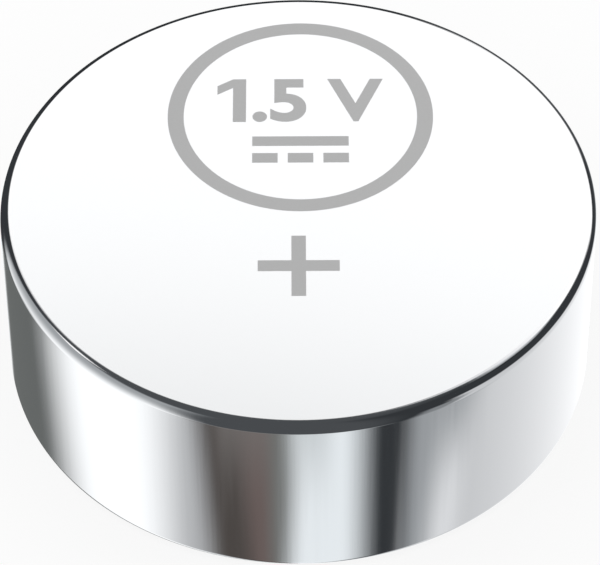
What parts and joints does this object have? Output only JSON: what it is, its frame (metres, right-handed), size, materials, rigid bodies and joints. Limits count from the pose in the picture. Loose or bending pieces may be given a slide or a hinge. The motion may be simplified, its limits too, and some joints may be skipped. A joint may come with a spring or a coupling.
{
  "type": "alkaline button cell",
  "caption": "Round alkaline button cell: polished metal can crimped over a sealed inner cap, positive face up, negative contact below.",
  "frame": {"origin": "centre of the negative contact face, on the plane the cell stands on", "axes": "+Z along the cell's axis, out of the positive face; X and Y are alike because the cell is round"},
  "size_m": [0.0116, 0.0116, 0.0042],
  "materials": {
    "can_nickel_steel": "polished nickel plate on drawn steel",
    "cap_clad_steel": "bright pressed sheet",
    "gasket_nylon": "moulded nylon",
    "cathode_mix": "pressed dark powder",
    "separator_film": "thin film",
    "absorbent_felt": "soaked felt",
    "zinc_gel": "metal powder in gel"
  },
  "bodies": {
    "root": {"positive_can": "can_nickel_steel", "negative_cap": "cap_clad_steel", "sealing_gasket": "gasket_nylon", "cathode_pellet": "cathode_mix", "separator_disc": "separator_film", "absorbent_disc": "absorbent_felt", "zinc_anode": "zinc_gel"}
  },
  "joints": []
}
